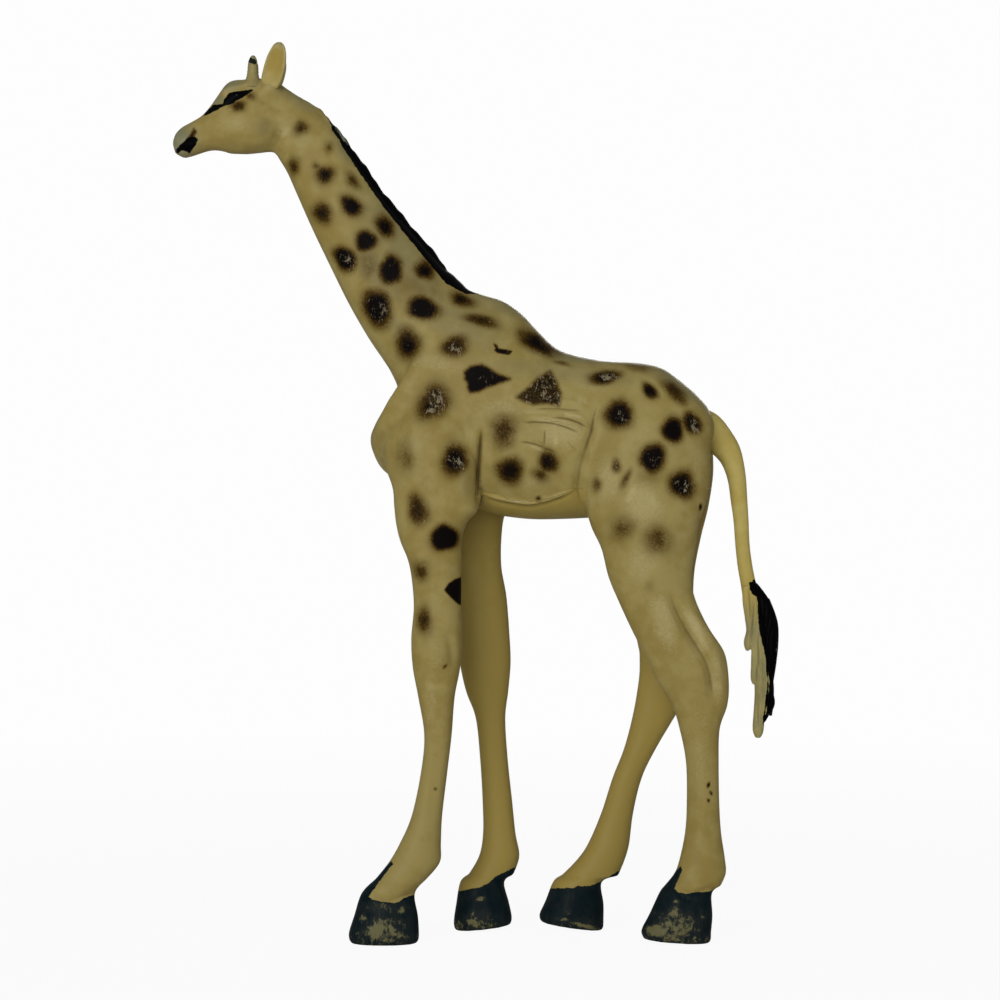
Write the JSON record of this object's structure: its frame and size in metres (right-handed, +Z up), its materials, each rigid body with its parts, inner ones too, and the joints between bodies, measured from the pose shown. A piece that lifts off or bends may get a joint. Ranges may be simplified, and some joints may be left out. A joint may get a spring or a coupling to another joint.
{
  "type": "toy giraffe figure",
  "caption": "Standing toy giraffe in moulded plastic, glued up from two side shells and an under piece, with plugged-in horns, ears and tail.",
  "frame": {"origin": "on the floor under the middle of the figure's outline", "axes": "+Z up, head towards -X, tail towards +X, the figure's left side towards -Y"},
  "size_m": [0.1354, 0.0296, 0.1992],
  "materials": {
    "shell_plastic": "cream hard plastic with a soft sheen, soft-edged dark sprayed spots, painted eyes, mane and hooves, all worn",
    "under_plastic": "the same cream plastic, unspotted, with dark painted hooves",
    "horn_plastic": "cream plastic with a dark painted tip worn through on top",
    "ear_plastic": "cream plastic, a little yellower in the cup",
    "tail_plastic": "cream plastic with a black painted tuft worn on one side"
  },
  "bodies": {
    "root": {"left_side_shell": "shell_plastic", "right_side_shell": "shell_plastic", "belly_and_inner_legs": "under_plastic", "left_horn": "horn_plastic", "right_horn": "horn_plastic", "left_ear": "ear_plastic", "right_ear": "ear_plastic", "tail": "tail_plastic"}
  },
  "joints": []
}
